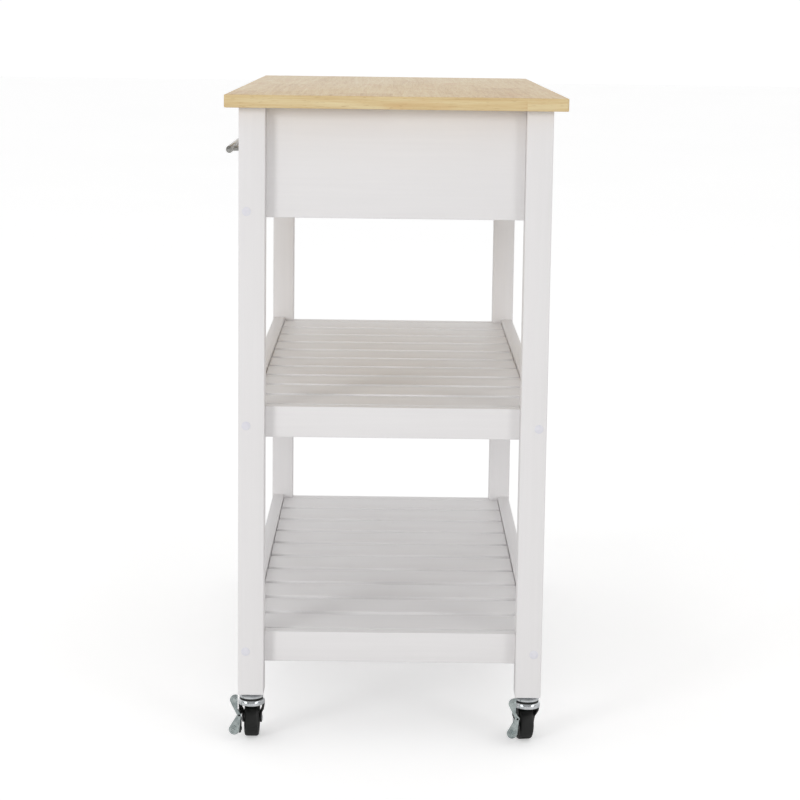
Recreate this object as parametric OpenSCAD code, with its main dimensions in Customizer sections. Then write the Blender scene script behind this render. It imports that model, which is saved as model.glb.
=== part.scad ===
// Kitchen island cart: a painted wooden frame with a natural wood worktop, two drawers,
// two slatted shelves and four swivel casters with side brakes.
// X runs along the cart's length, the drawers face -Y, and Z = 0 is the floor.
// The origin is the bottom centre of the box round the whole cart at rest.

/* [Worktop] */
// Length of the worktop
top_len = 915; // [820:1:1100]
// Depth of the worktop, front to back
top_depth = 450; // [400:1:560]
// Thickness of the worktop
top_thick = 17; // [12:0.5:30]
// Radius of the worktop's four upright corners
top_corner_r = 3; // [1:0.5:8]
// Height of the worktop's upper face above the floor
total_height = 885; // [820:1:950]
// How far the worktop reaches past the legs at each end
end_overhang = 20; // [5:1:40]
// How far the worktop reaches past the legs at the front and back
side_overhang = 18; // [5:1:40]

/* [Frame] */
// Width of the square legs
leg_size = 35; // [30:1:45]
// Height of the end panels and the back panel
apron_h = 146; // [130:1:175]
// Thickness of panels and rails
board_t = 18; // [15:0.5:19]
// How far long rails and drawer fronts sit behind the legs' outer faces
rail_recess = 1.5; // [0:0.5:4]
// Height of the low rail under the drawers
front_rail_h = 18; // [16:0.5:25]

/* [Shelves] */
// Height of the upper shelf's slat tops above the floor
upper_shelf_z = 467; // [360:1:560]
// Height of the lower shelf's slat tops above the floor
lower_shelf_z = 154; // [140:1:240]
// Height of the end rails, whose tops are level with the slats
end_rail_h = 42; // [36:1:60]
// How far the long rails stand above the slats
rail_rise = 6; // [0:0.5:12]
// Number of slats on each shelf
slat_count = 10; // [6:1:14]
// Open space between two slats
slat_gap = 14; // [6:0.5:24]
// Thickness of a slat
slat_t = 12; // [8:0.5:15]
// Space between the outer slats and the end rails
slat_end_gap = 4; // [1:0.5:10]
// Space between the slats' ends and the long rails
slat_side_gap = 1; // [0.5:0.5:4]
// Depth of the cleats that carry the slats
cleat_w = 14; // [8:0.5:15]
// Height of the cleats
cleat_h = 18; // [12:0.5:24]

/* [Drawers] */
// Space round each drawer front
drawer_gap = 2; // [1:0.5:4]
// Space between the top of the drawer boxes and the worktop
drawer_top_gap = 30; // [10:1:50]
// Space between the drawer boxes and the back panel
drawer_back_gap = 30; // [10:1:80]
// Thickness of the drawer box sides and back
drawer_side_t = 12; // [10:0.5:15]
// Thickness of the drawer bottom
drawer_bottom_t = 4; // [3:0.5:6]
// Depth of the groove that holds the drawer bottom
groove_depth = 5; // [3:0.5:6]
// Height of the drawer box's lower edge above the front rail
drawer_lift = 8; // [4:0.5:12]
// Space for one runner between the drawer box and the carcass
runner_space = 12.5; // [12:0.5:16]
// Height of a runner
runner_h = 34; // [28:1:45]
// How much shorter a runner is than the drawer box
runner_short = 30; // [10:1:60]
// Thickness of the runners' sheet steel
runner_t = 1.2; // [1:0.1:1.5]

/* [Bar pulls] */
// Overall length of a bar pull
pull_len = 188; // [120:1:260]
// Distance between its two posts
pull_pitch = 128; // [64:1:192]
// Diameter of its bar
pull_d = 10; // [8:0.5:14]
// Diameter of its posts
pull_post_d = 7.5; // [5:0.5:8]
// Distance from the drawer front to the middle of the bar
pull_reach = 24; // [20:0.5:35]

/* [Fittings] */
// Diameter of the cover caps on the legs' end faces
cap_d = 12; // [10:0.5:14]
// How far a cover cap stands proud
cap_proud = 1; // [0.5:0.1:2]
// Diameter of the bolts through the legs
bolt_d = 6; // [5:0.5:7]
// Length of the bolts' shanks
bolt_len = 55; // [45:1:70]
// Depth of the bolt heads below the legs' end faces
bolt_sink = 5; // [4:0.5:8]
// Diameter of the barrel nuts
barrel_d = 10; // [9:0.5:12]
// Height of the shelf bolts above the rails' lower edges
bolt_rise = 18; // [15:0.5:20]
// Diameter of the dowels
dowel_d = 8; // [6:0.5:10]
// Length of the dowels
dowel_len = 30; // [20:1:32]
// Length of each leg of the worktop brackets
bracket_leg = 22; // [16:1:30]
// Width of the worktop brackets
bracket_w = 18; // [12:1:30]
// Thickness of the worktop brackets
bracket_t = 2; // [1.5:0.1:3]

/* [Casters] */
// Diameter of the wheels
wheel_d = 50; // [40:0.5:60]
// Width of the wheels
wheel_w = 19.6; // [16:0.1:20.5]
// Clearance between the wheel and the fork's crown
crown_gap = 2.2; // [1.5:0.1:5]
// Distance of the axle behind the swivel axis
trail = 18; // [14:0.5:22]
// Diameter of the axles
axle_d = 6; // [5:0.5:8]
// Diameter of the upper race plate
race_d = 33; // [30:0.5:34]
// Outer diameter of the lower race cup
cup_d = 36; // [34:0.5:40]
// Height of the lower race cup
cup_h = 6.8; // [6:0.1:9]
// Thickness of the upper race plate
race_t = 4.7; // [4:0.1:6]
// Open gap between the two race parts
race_gap = 2.6; // [1:0.1:4]
// Thickness of the collar between the upper race plate and the leg
collar_t = 2.7; // [1:0.1:6]
// Thickness of the forks' steel
fork_t = 3; // [2:0.1:3.4]
// Diameter of the king pin and of the threaded stem
stem_d = 8; // [7:0.5:10]
// Length of the threaded stem inside the leg
stem_len = 25; // [20:1:30]
// Diameter of the round ends of a brake lever
lobe_d = 14.8; // [12:0.2:15]
// Thickness of a brake lever
lever_t = 2; // [1.5:0.1:2.5]
// Turn of the back right caster at rest, in degrees
back_right_turn = 9.5; // [-20:0.5:20]

/* [Hidden] */
SHELVES = ["upper", "lower"];
CORNERS = ["front_left", "front_right", "back_left", "back_right"];
HANDS = ["left", "right"];

round_fn = 64;          // facets shown on round parts
fit = 0.05;             // radial clearance of a running fit
slack = 0.3;            // clearance between pieces that pass each other
over = 1;               // how far a cutter runs past the face it cuts

frame_len = top_len - 2 * end_overhang;
panel_recess = leg_size - board_t;         // panels and end rails are flush with the legs' inner faces
frame_depth = top_depth - 2 * side_overhang;
leg_top = total_height - top_thick;
apron_z = leg_top - apron_h;
leg_x = frame_len / 2 - leg_size / 2;      // middle of a leg
leg_y = frame_depth / 2 - leg_size / 2;
bay_len = frame_len - 2 * leg_size;        // clear length between the legs
bay_depth = frame_depth - 2 * leg_size;
rail_y = frame_depth / 2 - rail_recess - board_t / 2;      // middle of a long rail
panel_x = frame_len / 2 - panel_recess - board_t / 2;      // middle of an end panel
front_face_y = -frame_depth / 2 + rail_recess;
rail_inner_y = rail_y - board_t / 2;
panel_inner_x = panel_x - board_t / 2;

// The bar pulls reach further than the worktop, so the body sits back by half the difference
pull_front = rail_recess - pull_reach - pull_d / 2;        // from the legs' front faces, negative outwards
body_shift = max(0, -pull_front - side_overhang) / 2;

long_rail_h = end_rail_h + rail_rise;
slat_span = bay_len - 2 * slat_end_gap;
slat_w = (slat_span - (slat_count - 1) * slat_gap) / slat_count;
slat_len = 2 * (rail_inner_y - slat_side_gap);

drawer_z = apron_z + front_rail_h;         // lower edge of the drawer openings
opening_w = (bay_len - board_t) / 2;
opening_x = (opening_w + board_t) / 2;
drawer_front_h = leg_top - drawer_z - 2 * drawer_gap;
drawer_front_y = front_face_y + board_t / 2;
box_w = opening_w - 2 * runner_space;
box_z = drawer_z + drawer_lift;
box_front_y = front_face_y + board_t;      // where the box meets the drawer front
back_inner_y = frame_depth / 2 - leg_size;
drawer_side_h = leg_top - drawer_top_gap - box_z;
drawer_side_len = back_inner_y - drawer_back_gap - box_front_y;
bottom_rise = 6;                           // the drawer bottom's height above the sides' lower edges
bottom_z = box_z + bottom_rise;
pull_z = drawer_z + drawer_gap + drawer_front_h / 2;
runner_rise = 10;                          // a runner's height above the sides' lower edges
runner_z = box_z + runner_rise;
runner_setback = 4;
runner_y = box_front_y + runner_setback;
runner_len = drawer_side_len - runner_short;
screw_d = 4;

bolt_zs = [lower_shelf_z - end_rail_h + bolt_rise, upper_shelf_z - end_rail_h + bolt_rise];
front_bolt_z = apron_z + front_rail_h / 2;
bolt_head_d = 9.5;
bolt_head_t = 3;
bolt_past_nut = 3;                         // how far a bolt's tip runs past its barrel nut
barrel_x = bay_len / 2 + leg_size - bolt_sink - bolt_len + barrel_d / 2 + bolt_past_nut;

// Levels of a caster, from the floor up
axle_z = wheel_d / 2;
crown_z = wheel_d + crown_gap;             // underside of the fork's crown
cup_top = crown_z + cup_h;
race_z = cup_top + race_gap;               // underside of the upper race plate
caster_h = race_z + race_t + collar_t;     // the legs' lower ends
crown_d = cup_d - 3;
arm_in = wheel_w / 2 + 0.8;                // inner face of a fork arm beside the wheel
arm_top_in = crown_d / 2 - fork_t + 1;     // inner face of a fork arm under the crown
arm_r = 7;                                 // round end of a fork arm
pin_d = 3;                                 // brake lever's pin
arm_front = 4;                             // front edge of the fork's arms, ahead of the swivel axis
pivot_y = -(arm_in + fork_t + 2.3);
pivot_z = axle_z + 13.5;
lever_x = cup_d / 3 + 1;                   // middle of the lever's thickness
plate_x = lever_x - lever_t / 2;           // the lever's back face
beside_cup = sqrt(pow(cup_d / 2, 2) - pow(plate_x, 2));    // the cup's half width at that face
lobe_up = [-(beside_cup + lobe_d / 2 + slack), caster_h - lobe_d / 2 - 1.3];   // a round end, [Y, Z]
lobe_down = [lobe_up[0] - 1.6, axle_z - 7];
lever_neck = 2.4;                          // half width of the lever's arms at the pin
pad_reach = -(wheel_w / 2 + 3.1);          // face of the pad's nub

WHITE = [0.92, 0.92, 0.91];
WOOD = [0.87, 0.74, 0.54];
ZINC = [0.72, 0.74, 0.76];
STEEL = [0.62, 0.63, 0.64];
BLACK = [0.05, 0.05, 0.055];
BARE = [0.82, 0.70, 0.52];

function side(name) = (name == "left" || name == "front") ? -1 : 1;
function corner_x(c) = (c == "front_left" || c == "back_left") ? -leg_x : leg_x;
function corner_y(c) = (c == "front_left" || c == "front_right") ? -leg_y : leg_y;
function caster_turn(c) = c == "front_right" ? 0 : c == "back_right" ? back_right_turn : 180;
function shelf_top(s) = s == "upper" ? upper_shelf_z : lower_shelf_z;

// A block by its middle in X and Y and its lower face in Z
module block(size, at) {
    translate([at[0] - size[0] / 2, at[1] - size[1] / 2, at[2]]) cube(size);
}

// A rod along X, from x0 to x1
module rod_x(d, x0, x1, y, z) {
    translate([x0, y, z]) rotate([0, 90, 0]) cylinder(d = d, h = x1 - x0, $fn = round_fn);
}

// A rod along Y, from y0 to y1
module rod_y(d, y0, y1, x, z) {
    translate([x, y1, z]) rotate([90, 0, 0]) cylinder(d = d, h = y1 - y0, $fn = round_fn);
}

// Everything stands in the cart's frame through this shift
module placed() {
    translate([0, body_shift, 0]) children();
}

// ---- Worktop ----

module rounded_plate(length, depth, thick, r) {
    linear_extrude(thick) union() {
        square([length - 2 * r, depth], center = true);
        square([length, depth - 2 * r], center = true);
        for (sx = [-1, 1], sy = [-1, 1])
            translate([sx * (length / 2 - r), sy * (depth / 2 - r)]) circle(r, $fn = round_fn);
    }
}

module worktop() {
    color(WOOD) placed() translate([0, 0, leg_top])
        rounded_plate(top_len, top_depth, top_thick, top_corner_r);
}

module worktop_brackets() {
    color(ZINC) placed() {
        for (sx = [-1, 1], y = [-bay_depth / 4, bay_depth / 4])
            translate([sx * panel_inner_x, y, leg_top]) rotate(sx > 0 ? 180 : 0) bracket();
        for (x = [-opening_x, opening_x])
            translate([x, back_inner_y, leg_top]) rotate(-90) bracket();
    }
}

// An angle bracket in the corner of an upright face at X = 0 and a ceiling at Z = 0
module bracket() {
    translate([0, -bracket_w / 2, -bracket_leg]) cube([bracket_t, bracket_w, bracket_leg]);
    translate([0, -bracket_w / 2, -bracket_t]) cube([bracket_leg, bracket_w, bracket_t]);
}

// ---- Frame ----

function dowel_zs() = concat(
    [for (s = SHELVES, dz = [0.25, 0.75]) shelf_top(s) - end_rail_h * (1 - dz)],
    [for (dz = [0.15, 0.5, 0.85]) apron_z + apron_h * dz]);

function bolt_heights(c) = (c == "front_left" || c == "front_right") ? concat(bolt_zs, [front_bolt_z]) : bolt_zs;

module leg(c) {
    sx = sign(corner_x(c));
    sy = sign(corner_y(c));
    end_x = sx * frame_len / 2;
    color(WHITE) placed() difference() {
        block([leg_size, leg_size, leg_top - caster_h], [corner_x(c), corner_y(c), caster_h]);
        for (z = bolt_heights(c)) {
            rod_x(bolt_d + 0.5, min(end_x, end_x - sx * 2 * leg_size), max(end_x, end_x - sx * 2 * leg_size),
                sy * rail_y, z);
            rod_x(bolt_head_d + 0.5, min(end_x + sx, end_x - sx * (bolt_sink + bolt_head_t)),
                max(end_x + sx, end_x - sx * (bolt_sink + bolt_head_t)), sy * rail_y, z);
        }
        for (z = dowel_zs())
            rod_y(dowel_d, sy > 0 ? bay_depth / 2 - over : -bay_depth / 2 - dowel_len / 2,
                sy > 0 ? bay_depth / 2 + dowel_len / 2 : -bay_depth / 2 + over, sx * panel_x, z);
        translate([corner_x(c), corner_y(c), caster_h - over])
            cylinder(d = stem_d + 2 * fit, h = stem_len + over, $fn = round_fn);
    }
}

// A board between the two legs of one end, with a dowel hole at each end and height
module end_board(hand, z, height, zs) {
    color(WHITE) placed() difference() {
        block([board_t, bay_depth, height], [side(hand) * panel_x, 0, z]);
        for (dz = zs, sy = [-1, 1])
            rod_y(dowel_d, sy > 0 ? bay_depth / 2 - dowel_len / 2 : -bay_depth / 2 - over,
                sy > 0 ? bay_depth / 2 + over : -bay_depth / 2 + dowel_len / 2, side(hand) * panel_x, dz);
    }
}

module end_panel(hand) {
    end_board(hand, apron_z, apron_h, [for (z = dowel_zs()) if (z > apron_z) z]);
}

module end_rail(shelf, hand) {
    z = shelf_top(shelf) - end_rail_h;
    end_board(hand, z, end_rail_h, [for (d = dowel_zs()) if (d > z && d < z + end_rail_h) d]);
}

module end_frame_dowels() {
    color(BARE) placed() for (sx = [-1, 1], sy = [-1, 1], z = dowel_zs())
        rod_y(dowel_d, sy * bay_depth / 2 - dowel_len / 2, sy * bay_depth / 2 + dowel_len / 2, sx * panel_x, z);
}

module back_panel() {
    color(WHITE) placed()
        block([bay_len, board_t, apron_h], [0, back_inner_y + board_t / 2, apron_z]);
}

// A rail along the cart, drilled at both ends for its bolt and barrel nut
module long_rail(y, z, height, bolt_z) {
    color(WHITE) placed() difference() {
        block([bay_len, board_t, height], [0, y, z]);
        for (sx = [-1, 1]) {
            rod_x(bolt_d + 0.5, min(sx * bay_len / 2 + sx, sx * (barrel_x - barrel_d)),
                max(sx * bay_len / 2 + sx, sx * (barrel_x - barrel_d)), y, bolt_z);
            rod_y(barrel_d + 2 * fit, y < 0 ? y - barrel_d / 2 : y - board_t / 2 - over,
                y < 0 ? y + board_t / 2 + over : y + barrel_d / 2, sx * barrel_x, bolt_z);
        }
    }
}

module front_rail() {
    long_rail(-rail_y, apron_z, front_rail_h, front_bolt_z);
}

module shelf_rail(shelf, edge) {
    z = shelf_top(shelf) - end_rail_h;
    long_rail(side(edge) * rail_y, z, long_rail_h, z + bolt_rise);
}

module drawer_divider() {
    y0 = front_face_y;
    color(WHITE) placed() block([board_t, back_inner_y - y0, leg_top - drawer_z],
        [0, (y0 + back_inner_y) / 2, drawer_z]);
}

// ---- Fittings ----

function bolt_places() = [for (c = CORNERS, z = bolt_heights(c)) [sign(corner_x(c)), sign(corner_y(c)), z]];

module frame_bolts() {
    head_x = frame_len / 2 - bolt_sink;
    color(STEEL) placed() for (p = bolt_places()) mirror([p[0] < 0 ? 1 : 0, 0, 0]) {
        rod_x(bolt_head_d, head_x - bolt_head_t, head_x, p[1] * rail_y, p[2]);
        rod_x(bolt_d, head_x - bolt_len, head_x - over, p[1] * rail_y, p[2]);
        difference() {
            rod_y(barrel_d, p[1] * rail_y - barrel_d / 2 + slack, p[1] * rail_y + barrel_d / 2 - slack,
                barrel_x, p[2]);
            rod_x(bolt_d + 2 * fit, barrel_x - barrel_d, barrel_x + barrel_d, p[1] * rail_y, p[2]);
        }
    }
}

// A cover cap: a thin domed disc with a plug that fills the bolt's counterbore
module cover_cap() {
    dome_r = (cap_d * cap_d / 4 + cap_proud * cap_proud) / (2 * cap_proud);
    plug_len = bolt_sink - 1;
    rotate_extrude($fn = round_fn) intersection() {
        union() {
            translate([0, cap_proud - dome_r]) circle(dome_r, $fn = 4 * round_fn);
            translate([0, -plug_len]) square([bolt_head_d / 2, plug_len]);
        }
        union() {
            square([cap_d / 2, cap_proud]);
            translate([0, -plug_len]) square([bolt_head_d / 2, plug_len]);
        }
    }
}

module cover_caps() {
    color(WHITE) placed() for (p = bolt_places())
        translate([p[0] * frame_len / 2, p[1] * rail_y, p[2]]) rotate([0, p[0] * 90, 0]) cover_cap();
}

// ---- Shelves ----

module slats(shelf) {
    pitch = slat_w + slat_gap;
    color(WHITE) placed() for (i = [0 : slat_count - 1])
        block([slat_w, slat_len, slat_t],
            [(i - (slat_count - 1) / 2) * pitch, 0, shelf_top(shelf) - slat_t]);
}

module shelf_cleats() {
    color(WHITE) placed() for (shelf = SHELVES, sy = [-1, 1])
        block([slat_span, cleat_w, cleat_h],
            [0, sy * (rail_inner_y - cleat_w / 2), shelf_top(shelf) - slat_t - cleat_h]);
}

// ---- Drawers ----

module drawer_front(hand) {
    x = side(hand) * opening_x;
    color(WHITE) placed() difference() {
        block([opening_w - 2 * drawer_gap, board_t, drawer_front_h],
            [x, drawer_front_y, drawer_z + drawer_gap]);
        block([box_w - 2 * drawer_side_t + 2 * groove_depth, 2 * groove_depth, drawer_bottom_t],
            [x, box_front_y, bottom_z]);
        for (sx = [-1, 1])
            rod_y(screw_d + 0.5, front_face_y - over, box_front_y + over, x + sx * pull_pitch / 2, pull_z);
    }
}

module drawer_sides(hand) {
    x = side(hand) * opening_x;
    color(BARE) placed() for (sx = [-1, 1]) difference() {
        block([drawer_side_t, drawer_side_len, drawer_side_h],
            [x + sx * (box_w - drawer_side_t) / 2, box_front_y + drawer_side_len / 2, box_z]);
        block([2 * groove_depth, drawer_side_len + 2 * over, drawer_bottom_t],
            [x + sx * (box_w / 2 - drawer_side_t), box_front_y + drawer_side_len / 2, bottom_z]);
    }
}

module drawer_back(hand) {
    inner_w = box_w - 2 * drawer_side_t;
    color(BARE) placed() block([inner_w, drawer_side_t, box_z + drawer_side_h - bottom_z - drawer_bottom_t],
        [side(hand) * opening_x, box_front_y + drawer_side_len - drawer_side_t / 2, bottom_z + drawer_bottom_t]);
}

module drawer_bottom(hand) {
    inner_w = box_w - 2 * drawer_side_t + 2 * groove_depth;
    length = drawer_side_len + groove_depth;
    color(BARE) placed() block([inner_w, length, drawer_bottom_t],
        [side(hand) * opening_x, box_front_y - groove_depth + length / 2, bottom_z]);
}

module drawer_handle(hand) {
    x = side(hand) * opening_x;
    bar_y = front_face_y - pull_reach;
    color(STEEL) placed() {
        rod_x(pull_d, x - pull_len / 2, x + pull_len / 2, bar_y, pull_z);
        for (sx = [-1, 1]) {
            rod_y(pull_post_d, bar_y, front_face_y, x + sx * pull_pitch / 2, pull_z);
            rod_y(screw_d, front_face_y - over, box_front_y + over, x + sx * pull_pitch / 2, pull_z);
            rod_y(2 * screw_d, box_front_y, box_front_y + screw_d / 2, x + sx * pull_pitch / 2, pull_z);
        }
    }
}

// The fixed member of a runner: a channel on the carcass that opens towards the drawer.
// X = 0 is the carcass face, and the drawer is on the +X side.
module fixed_runner() {
    lip = runner_space - runner_t - 2;
    translate([0, runner_y, runner_z]) {
        cube([runner_t, runner_len, runner_h]);
        for (z = [0, runner_h - runner_t]) translate([0, 0, z]) cube([lip, runner_len, runner_t]);
    }
}

// The moving member: a plate on the drawer box with two lips that ride inside the channel.
// X = 0 is the box's side, and the carcass is on the -X side.
module moving_runner() {
    inner_h = runner_h - 2 * runner_t - 2 * slack - 1;
    reach = runner_space - runner_t - 1;
    translate([0, runner_y, runner_z + (runner_h - inner_h) / 2]) {
        translate([-runner_t, 0, 0]) cube([runner_t, runner_len, inner_h]);
        for (z = [0, inner_h - runner_t])
            translate([-reach, 0, z]) cube([reach, runner_len, runner_t]);
    }
}

module drawer_runners() {
    color(ZINC) placed() for (hand = HANDS, sx = [-1, 1])
        translate([side(hand) * opening_x - sx * opening_w / 2, 0, 0]) mirror([sx < 0 ? 1 : 0, 0, 0])
            fixed_runner();
}

module drawer_slides(hand) {
    color(ZINC) placed() for (sx = [-1, 1])
        translate([side(hand) * opening_x - sx * box_w / 2, 0, 0]) mirror([sx < 0 ? 1 : 0, 0, 0])
            moving_runner();
}

// ---- Casters: each is drawn round its swivel axis, with the wheel trailing towards -X ----

module at_caster(c) {
    placed() translate([corner_x(c), corner_y(c), 0]) rotate(caster_turn(c)) children();
}

module caster_stem() {
    rotate_extrude($fn = round_fn) polygon([
        [0, crown_z - 2], [6, crown_z - 2], [6, crown_z - slack], [stem_d / 2, crown_z - slack],
        [stem_d / 2, race_z], [race_d / 2 - 1.5, race_z], [race_d / 2, race_z + 1],
        [race_d / 2, race_z + race_t - 1.4], [race_d / 2 - 2.5, race_z + race_t],
        [10, race_z + race_t], [10, caster_h], [stem_d / 2, caster_h],
        [stem_d / 2, caster_h + stem_len - 1], [stem_d / 2 - 1, caster_h + stem_len],
        [0, caster_h + stem_len]]);
}

module caster_stems() {
    color(ZINC) for (c = CORNERS) at_caster(c) caster_stem();
}

// The lower race cup: a ring with a floor that sits on the fork's crown
module caster_cup(c) {
    wall = 1.4;
    floor_z = crown_z + fork_t;
    color(ZINC) at_caster(c) rotate_extrude($fn = round_fn) polygon([
        [stem_d / 2 + fit, floor_z], [cup_d / 2 - wall, floor_z], [cup_d / 2 - wall, crown_z],
        [cup_d / 2, crown_z], [cup_d / 2, cup_top - 1.5], [cup_d / 2 - 1.5, cup_top],
        [cup_d / 2 - 3.5, cup_top], [cup_d / 2 - 5, floor_z + wall], [stem_d / 2 + fit, floor_z + wall]]);
}

// Outline of the fork across the wheel, as [Y, Z]
module fork_section() {
    tip_z = axle_z - arm_r;
    arm_out = arm_in + fork_t;
    top_out = arm_top_in + fork_t;
    half = [[0, crown_z + fork_t], [crown_d / 2 - 0.2, crown_z + fork_t], [crown_d / 2 - 0.2, crown_z],
        [top_out, crown_z - 1], [top_out, crown_z - 6], [arm_out, axle_z + 5], [arm_out, tip_z],
        [arm_in, tip_z], [arm_in, axle_z + 5.8], [arm_top_in, crown_z - 5.5], [arm_top_in, crown_z],
        [0, crown_z]];
    polygon(half);
    mirror([1, 0]) polygon(half);
}

// Outline of the fork from the side, as [X, Z]: a wide crown that narrows to the axle
module fork_outline() {
    corner = [arm_front, crown_z];
    away = corner - [-trail, axle_z];
    spread = norm(away);
    line = atan2(away[1], away[0]);
    open = acos(arm_r / spread);
    front = [-trail, axle_z] + arm_r * [cos(line - open), sin(line - open)];
    back = [-trail, axle_z] + arm_r * [-1, 0];
    polygon([[corner[0], crown_z + fork_t], corner, front, [-trail, axle_z], back,
        [-crown_d / 2 - over, crown_z - 8], [-crown_d / 2 - over, crown_z + fork_t]]);
    translate([-trail, axle_z]) circle(arm_r, $fn = round_fn);
    translate([-crown_d / 2, crown_z]) square([crown_d, fork_t]);
}

module caster_fork(c) {
    color(BLACK) at_caster(c) difference() {
        union() {
            intersection() {
                translate([-wheel_d, 0, 0]) rotate([90, 0, 90]) linear_extrude(2 * wheel_d) fork_section();
                translate([0, wheel_d, 0]) rotate([90, 0, 0]) linear_extrude(2 * wheel_d) fork_outline();
                union() {
                    translate([0, 0, crown_z - over / 4]) cylinder(d = crown_d, h = wheel_d, $fn = round_fn);
                    translate([-wheel_d, -wheel_d, 0]) cube([2 * wheel_d, 2 * wheel_d, crown_z]);
                }
            }
            brake_lug();
        }
        translate([0, 0, crown_z - over]) cylinder(d = stem_d + 2 * fit, h = wheel_d, $fn = round_fn);
        rod_y(axle_d, -wheel_d, wheel_d, -trail, axle_z);
    }
}

// The lug on the outer side of the left arm, with the pin that the brake lever rocks on
module brake_lug() {
    back_x = -trail / 2;
    face_x = plate_x - slack;
    translate([back_x, pivot_y - 2.5, pivot_z - 3]) cube([face_x - back_x, 5, 6]);
    rod_x(pin_d, back_x, lever_x + lever_t / 2 + slack + over, pivot_y, pivot_z);
}

module caster_wheel(c) {
    shoulder = 3;
    hub_r = 8;
    rim_r = wheel_d / 2 - 6;
    dish = 3;
    bore_r = axle_d / 2 + fit;
    r = wheel_d / 2;
    h = wheel_w / 2;
    color(BLACK) at_caster(c) translate([-trail, 0, axle_z]) rotate([90, 0, 0])
        rotate_extrude($fn = 2 * round_fn) difference() {
            union() {
                translate([bore_r, -h]) square([r - shoulder - bore_r, 2 * h]);
                translate([bore_r, -h + shoulder]) square([r - bore_r, 2 * (h - shoulder)]);
                for (s = [-1, 1])
                    translate([r - shoulder, s * (h - shoulder)]) circle(shoulder, $fn = round_fn);
                translate([bore_r, -arm_in + slack]) square([hub_r - bore_r, 2 * (arm_in - slack)]);
            }
            for (s = [-1, 1])
                translate([hub_r, s > 0 ? h - dish : -h - over]) square([rim_r - hub_r, dish + over]);
        }
}

module caster_axle(c) {
    head_t = 1.6;
    out = arm_in + fork_t;
    color(ZINC) at_caster(c) {
        rod_y(axle_d, -out - head_t, out + head_t, -trail, axle_z);
        for (s = [-1, 1])
            rod_y(axle_d + 4, min(s * out, s * (out + head_t)), max(s * out, s * (out + head_t)),
                -trail, axle_z);
    }
}

// One arm of the lever, from the pin to the middle of a round end, as [Y, Z]
module lever_arm(lobe) {
    pin = [pivot_y, pivot_z];
    along = (lobe - pin) / norm(lobe - pin);
    across = [-along[1], along[0]];
    wide = lobe_d / 2 - 1;
    polygon([pin - lever_neck * across, pin + lever_neck * across, lobe + wide * across, lobe - wide * across]);
    translate(lobe) circle(d = lobe_d, $fn = round_fn);
}

// The lever's upper arm, cut straight beside the cup and slanting in to the pin below it
module upper_lever_arm() {
    beside = -cup_d / 2;
    bend_z = crown_z - 5;
    slant = [pivot_y + lever_neck, pivot_z + 1];
    difference() {
        lever_arm(lobe_up);
        polygon([[beside, caster_h], [beside, bend_z], slant, [0, slant[1]], [0, caster_h]]);
    }
}

module caster_brake(c) {
    grip_t = 0.5;
    pad_size = [15, 3.4, 19];
    pad_low = lobe_down[1] - 5.2;
    pad_out = pad_reach - 0.6;
    nub_at = [plate_x - 11, lobe_down[1] - 2.2];
    color(ZINC) at_caster(c) difference() {
        union() {
            translate([plate_x, 0, 0]) rotate([90, 0, 90]) linear_extrude(lever_t) {
                translate([pivot_y, pivot_z]) circle(d = pin_d + 3, $fn = round_fn);
                upper_lever_arm();
                lever_arm(lobe_down);
            }
            for (k = [-1, 0, 1])
                translate([plate_x + lever_t - 0.01, lobe_down[0], lobe_down[1] + 3 * k]) rotate([-30, 0, 0])
                    translate([0, -4, -0.5]) cube([grip_t, 8, 1]);
        }
        rod_x(pin_d + 2 * fit, -wheel_d, wheel_d, pivot_y, pivot_z);
    }
    color(BLACK) at_caster(c) {
        translate([plate_x - pad_size[0], pad_out - pad_size[1], pad_low]) cube(pad_size);
        rod_y(5, pad_out - 1, pad_reach, nub_at[0], nub_at[1]);
    }
}

worktop();
worktop_brackets();
back_panel();
front_rail();
drawer_divider();
shelf_cleats();
drawer_runners();
cover_caps();
frame_bolts();
end_frame_dowels();
caster_stems();
for (c = CORNERS) {
    leg(c);
    caster_cup(c);
    caster_fork(c);
    caster_wheel(c);
    caster_axle(c);
    caster_brake(c);
}
for (s = SHELVES) {
    shelf_rail(s, "front");
    shelf_rail(s, "back");
    end_rail(s, "left");
    end_rail(s, "right");
    slats(s);
}
for (h = HANDS) {
    end_panel(h);
    drawer_front(h);
    drawer_sides(h);
    drawer_back(h);
    drawer_bottom(h);
    drawer_handle(h);
    drawer_slides(h);
}
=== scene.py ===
"""Kitchen island cart: the visual model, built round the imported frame.

Each sub-assembly is a class with its sizes as fields and methods that model and
dress its pieces. Sizes are in metres, and places come from the frame's own boxes.
"""
from __future__ import annotations

import logging
import math
from collections.abc import Callable, Sequence
from dataclasses import dataclass, field
from enum import Enum

import bmesh
import bpy
from mathutils import Matrix, Vector

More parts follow.
